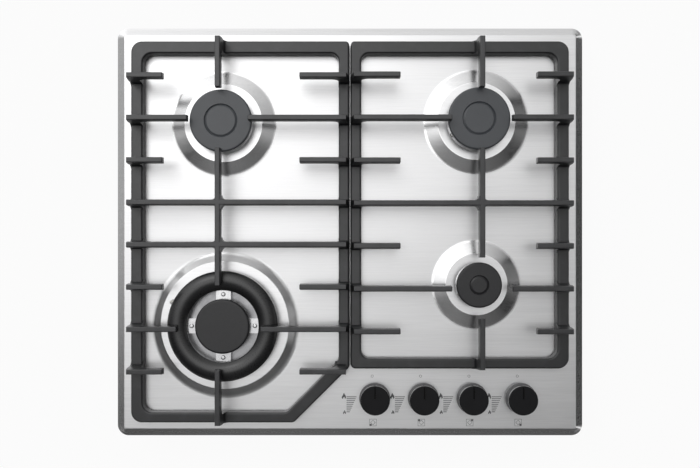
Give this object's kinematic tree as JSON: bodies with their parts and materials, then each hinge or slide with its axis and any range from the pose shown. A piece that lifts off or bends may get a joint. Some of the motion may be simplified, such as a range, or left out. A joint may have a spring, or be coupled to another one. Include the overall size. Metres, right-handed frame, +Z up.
{
  "type": "gas cooktop",
  "caption": "Built-in gas cooktop: bevelled stainless plate, cast-iron pan supports with fingers on legs, capped burners and a front row of push-and-turn knobs.",
  "frame": {"origin": "middle of the bottom tray's underside, below the centre of the plate", "axes": "+X to the right, +Y to the rear, +Z up, as the user stands in front of the hob"},
  "size_m": [0.58, 0.508, 0.0945],
  "materials": {
    "stainless": "brushed stainless sheet",
    "cast_iron": "matt black enamelled casting",
    "enamel_grey": "matt grey enamel",
    "enamel_black": "black enamel",
    "die_cast": "die-cast",
    "aluminium_tube": "drawn tube",
    "brass": "turned",
    "zinc_steel": "zinc plated",
    "galvanised": "galvanised sheet",
    "knob_black": "satin moulded",
    "nylon_black": "moulded",
    "nylon_white": "moulded",
    "ceramic": "glazed ceramic",
    "rubber": "matt",
    "foam": "closed-cell foam"
  },
  "bodies": {
    "hob_body": {"bottom_tray": "galvanised", "cable_gland": "nylon_black", "case_screws": "zinc_steel", "cup_front_left": "die_cast", "cup_front_right": "die_cast", "cup_rear_left": "die_cast", "cup_rear_right": "die_cast", "cup_screws": "zinc_steel", "electrode_ceramics": "ceramic", "electrode_pins": "zinc_steel", "feed_pipe_front_left": "aluminium_tube", "feed_pipe_front_right": "aluminium_tube", "feed_pipe_rear_left": "aluminium_tube", "feed_pipe_rear_right": "aluminium_tube", "floor_screws": "zinc_steel", "gas_inlet": "brass", "gas_rail": "zinc_steel", "hob_plate": "stainless", "ignition_leads": "rubber", "ignition_module": "nylon_black", "ignition_switches": "nylon_black", "injectors": "brass", "pipe_nuts": "brass", "plate_brackets": "zinc_steel", "rail_end_stop": "zinc_steel", "spindle_seals": "rubber", "tap_front_left": "brass", "tap_front_right": "brass", "tap_rear_left": "brass", "tap_rear_right": "brass", "tap_screws": "zinc_steel", "tap_support": "zinc_steel", "terminal_block": "nylon_white", "worktop_seal": "foam"},
    "pan_support_left": {"pan_support_left": "cast_iron", "rubber_feet_left": "rubber"},
    "pan_support_right": {"pan_support_right": "cast_iron", "rubber_feet_right": "rubber"},
    "crown_front_left": {"crown_front_left": "die_cast", "bridge_screws": "zinc_steel"},
    "cap_front_left_ring": {"cap_front_left_ring": "enamel_black"},
    "cap_front_left_center": {"cap_front_left_center": "enamel_black"},
    "crown_rear_left": {"crown_rear_left": "die_cast"},
    "cap_rear_left": {"cap_rear_left": "enamel_grey"},
    "crown_rear_right": {"crown_rear_right": "die_cast"},
    "cap_rear_right": {"cap_rear_right": "enamel_grey"},
    "crown_front_right": {"crown_front_right": "die_cast"},
    "cap_front_right": {"cap_front_right": "enamel_black"},
    "push_collar_front_left": {"push_collar_front_left": "nylon_white"},
    "knob_front_left": {"knob_front_left": "knob_black", "spindle_front_left": "brass"},
    "push_collar_rear_left": {"push_collar_rear_left": "nylon_white"},
    "knob_rear_left": {"knob_rear_left": "knob_black", "spindle_rear_left": "brass"},
    "push_collar_rear_right": {"push_collar_rear_right": "nylon_white"},
    "knob_rear_right": {"knob_rear_right": "knob_black", "spindle_rear_right": "brass"},
    "push_collar_front_right": {"push_collar_front_right": "nylon_white"},
    "knob_front_right": {"knob_front_right": "knob_black", "spindle_front_right": "brass"}
  },
  "joints": [
    {"name": "lift_pan_support_left", "type": "slide", "parent": "hob_body", "child": "pan_support_left", "axis": [0, 0, 1], "range_m": [0, 0.08]},
    {"name": "lift_pan_support_right", "type": "slide", "parent": "hob_body", "child": "pan_support_right", "axis": [0, 0, 1], "range_m": [0, 0.08]},
    {"name": "lift_crown_front_left", "type": "slide", "parent": "hob_body", "child": "crown_front_left", "axis": [0, 0, 1], "range_m": [0, 0.0022]},
    {"name": "lift_crown_rear_left", "type": "slide", "parent": "hob_body", "child": "crown_rear_left", "axis": [0, 0, 1], "range_m": [0, 0.0022]},
    {"name": "lift_crown_rear_right", "type": "slide", "parent": "hob_body", "child": "crown_rear_right", "axis": [0, 0, 1], "range_m": [0, 0.0022]},
    {"name": "lift_crown_front_right", "type": "slide", "parent": "hob_body", "child": "crown_front_right", "axis": [0, 0, 1], "range_m": [0, 0.0022]},
    {"name": "lift_cap_front_left_ring", "type": "slide", "parent": "crown_front_left", "child": "cap_front_left_ring", "axis": [0, 0, 1], "range_m": [0, 0.0028]},
    {"name": "lift_cap_front_left_center", "type": "slide", "parent": "crown_front_left", "child": "cap_front_left_center", "axis": [0, 0, 1], "range_m": [0, 0.0028]},
    {"name": "lift_cap_rear_left", "type": "slide", "parent": "crown_rear_left", "child": "cap_rear_left", "axis": [0, 0, 1], "range_m": [0, 0.0028]},
    {"name": "lift_cap_rear_right", "type": "slide", "parent": "crown_rear_right", "child": "cap_rear_right", "axis": [0, 0, 1], "range_m": [0, 0.0028]},
    {"name": "lift_cap_front_right", "type": "slide", "parent": "crown_front_right", "child": "cap_front_right", "axis": [0, 0, 1], "range_m": [0, 0.0028]},
    {"name": "push_knob_front_left", "type": "slide", "parent": "hob_body", "child": "push_collar_front_left", "axis": [0, 0, -1], "range_m": [0, 0.0035], "stiffness_N_per_m": 1500, "springref_m": -0.001},
    {"name": "turn_knob_front_left", "type": "hinge", "parent": "push_collar_front_left", "child": "knob_front_left", "pos_m": [0.0305, -0.2056, 0.065], "axis": [0, 0, 1], "range_deg": [0, 210]},
    {"name": "push_knob_rear_left", "type": "slide", "parent": "hob_body", "child": "push_collar_rear_left", "axis": [0, 0, -1], "range_m": [0, 0.0035], "stiffness_N_per_m": 1500, "springref_m": -0.001},
    {"name": "turn_knob_rear_left", "type": "hinge", "parent": "push_collar_rear_left", "child": "knob_rear_left", "pos_m": [0.0905, -0.2056, 0.065], "axis": [0, 0, 1], "range_deg": [0, 210]},
    {"name": "push_knob_rear_right", "type": "slide", "parent": "hob_body", "child": "push_collar_rear_right", "axis": [0, 0, -1], "range_m": [0, 0.0035], "stiffness_N_per_m": 1500, "springref_m": -0.001},
    {"name": "turn_knob_rear_right", "type": "hinge", "parent": "push_collar_rear_right", "child": "knob_rear_right", "pos_m": [0.1505, -0.2056, 0.065], "axis": [0, 0, 1], "range_deg": [0, 210]},
    {"name": "push_knob_front_right", "type": "slide", "parent": "hob_body", "child": "push_collar_front_right", "axis": [0, 0, -1], "range_m": [0, 0.0035], "stiffness_N_per_m": 1500, "springref_m": -0.001},
    {"name": "turn_knob_front_right", "type": "hinge", "parent": "push_collar_front_right", "child": "knob_front_right", "pos_m": [0.2105, -0.2056, 0.065], "axis": [0, 0, 1], "range_deg": [0, 210]}
  ]
}
